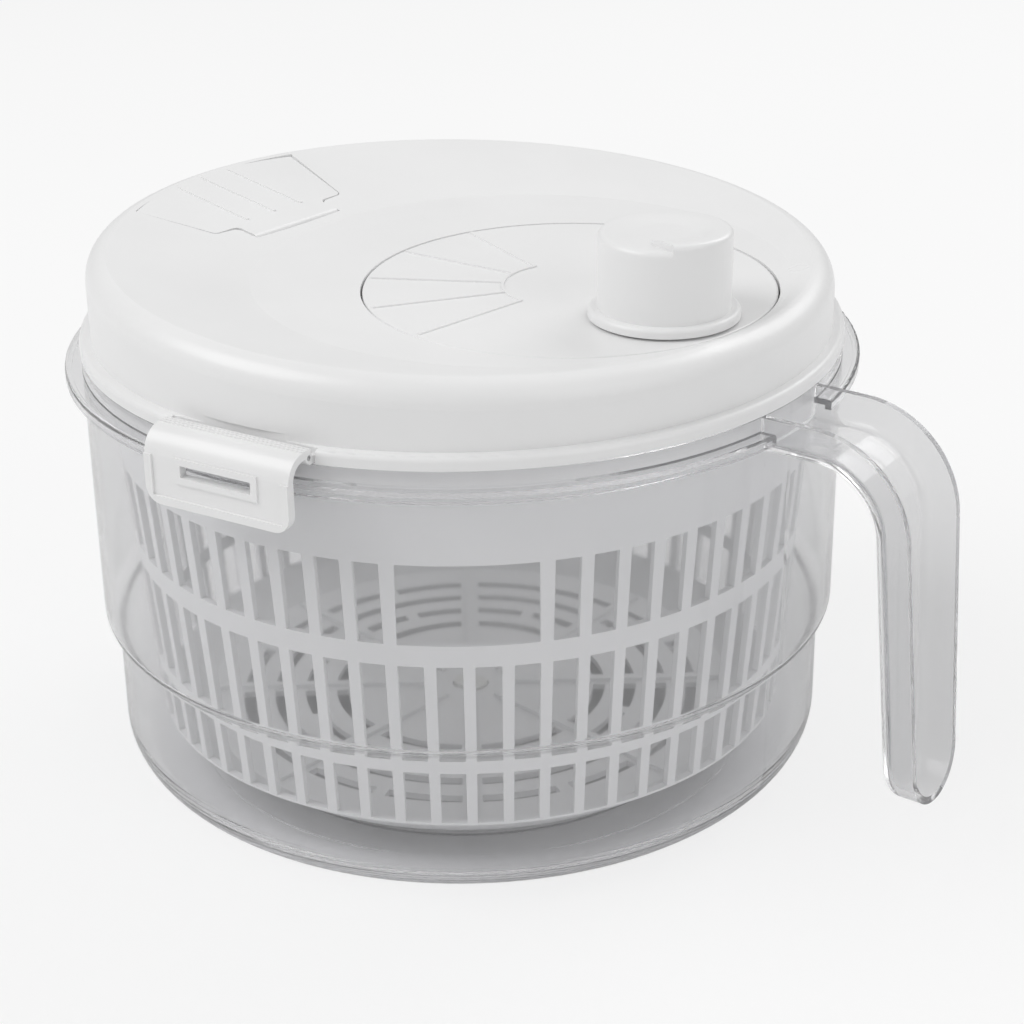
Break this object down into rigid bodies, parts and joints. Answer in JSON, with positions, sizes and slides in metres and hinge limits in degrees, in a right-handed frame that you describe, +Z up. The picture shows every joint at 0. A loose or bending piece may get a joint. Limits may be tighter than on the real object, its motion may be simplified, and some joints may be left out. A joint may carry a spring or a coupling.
{
  "type": "salad spinner",
  "caption": "Hand-cranked salad spinner: clear round bowl with one long side handle, slotted basket and a geared lid held by hinged latches.",
  "frame": {"origin": "centre of the flat face that the bowl stands on", "axes": "+Z up along the bowl's axis, +X towards the bowl's handle"},
  "size_m": [0.286, 0.2534, 0.1832],
  "materials": {
    "clear_plastic": "clear, polished moulding",
    "white_plastic": "smooth white moulding",
    "basket_plastic": "smooth white moulding",
    "bearing_plastic": "natural low-friction moulding",
    "steel": "stainless steel"
  },
  "bodies": {
    "bowl": {"bowl": "clear_plastic", "bowl_handle": "clear_plastic", "pivot_pin": "steel"},
    "cup": {"pivot_cup": "bearing_plastic"},
    "basket": {"basket": "basket_plastic"},
    "lid": {"lid_shell": "white_plastic", "gear_cover": "bearing_plastic", "gear_cover_screws": "steel", "pinion_bush": "bearing_plastic", "crank_bush": "bearing_plastic", "drain_flap_pin": "steel", "latch_front_pin": "steel", "latch_rear_pin": "steel"},
    "crank": {"crank_disc": "white_plastic", "ring_gear": "bearing_plastic", "crank_screws": "steel", "knob_spindle": "bearing_plastic", "knob_washer": "steel", "knob_screw": "steel"},
    "knob": {"knob": "white_plastic", "knob_cap": "white_plastic"},
    "drive": {"pinion": "bearing_plastic", "drive_plate": "white_plastic", "drive_plate_washer": "steel", "drive_plate_screw": "steel"},
    "flap": {"drain_flap": "white_plastic"},
    "latch_front": {"latch_front": "white_plastic"},
    "latch_rear": {"latch_rear": "white_plastic"}
  },
  "joints": [
    {"name": "lid_lift", "type": "slide", "parent": "bowl", "child": "lid", "axis": [0, 0, 1], "range_m": [0, 0.06]},
    {"name": "latch_front_hinge", "type": "hinge", "parent": "lid", "child": "latch_front", "pos_m": [0.01131, -0.11334, 0.1382], "axis": [-0.9951, -0.0993, 0], "range_deg": [0, 70]},
    {"name": "latch_rear_hinge", "type": "hinge", "parent": "lid", "child": "latch_rear", "pos_m": [-0.01131, 0.11334, 0.1382], "axis": [0.9951, 0.0993, 0], "range_deg": [0, 70]},
    {"name": "flap_hinge", "type": "hinge", "parent": "lid", "child": "flap", "pos_m": [-0.0619, -0.00532, 0.15722], "axis": [0.0436, 0.999, -0.0133], "range_deg": [0, 90]},
    {"name": "crank_spin", "type": "hinge", "parent": "lid", "child": "crank", "pos_m": [0.04276, -0.00449, 0.155], "axis": [0, 0, 1], "continuous": true},
    {"name": "knob_spin", "type": "hinge", "parent": "crank", "child": "knob", "pos_m": [0.07958, -0.01165, 0.165], "axis": [0, 0, 1], "continuous": true},
    {"name": "drive_spin", "type": "hinge", "parent": "lid", "child": "drive", "pos_m": [0, 0, 0.135], "axis": [0, 0, 1], "continuous": true},
    {"name": "cup_spin", "type": "hinge", "parent": "bowl", "child": "cup", "pos_m": [0, 0, 0.008], "axis": [0, 0, 1], "continuous": true},
    {"name": "basket_lift", "type": "slide", "parent": "cup", "child": "basket", "axis": [0, 0, 1], "range_m": [0, 0.036]}
  ],
  "couplings": [
    {"joint": "drive_spin", "follows": "crank_spin", "ratio": 4.0714},
    {"joint": "cup_spin", "follows": "crank_spin", "ratio": 4.0714},
    {"joint": "basket_lift", "follows": "lid_lift", "ratio": 0.6}
  ]
}
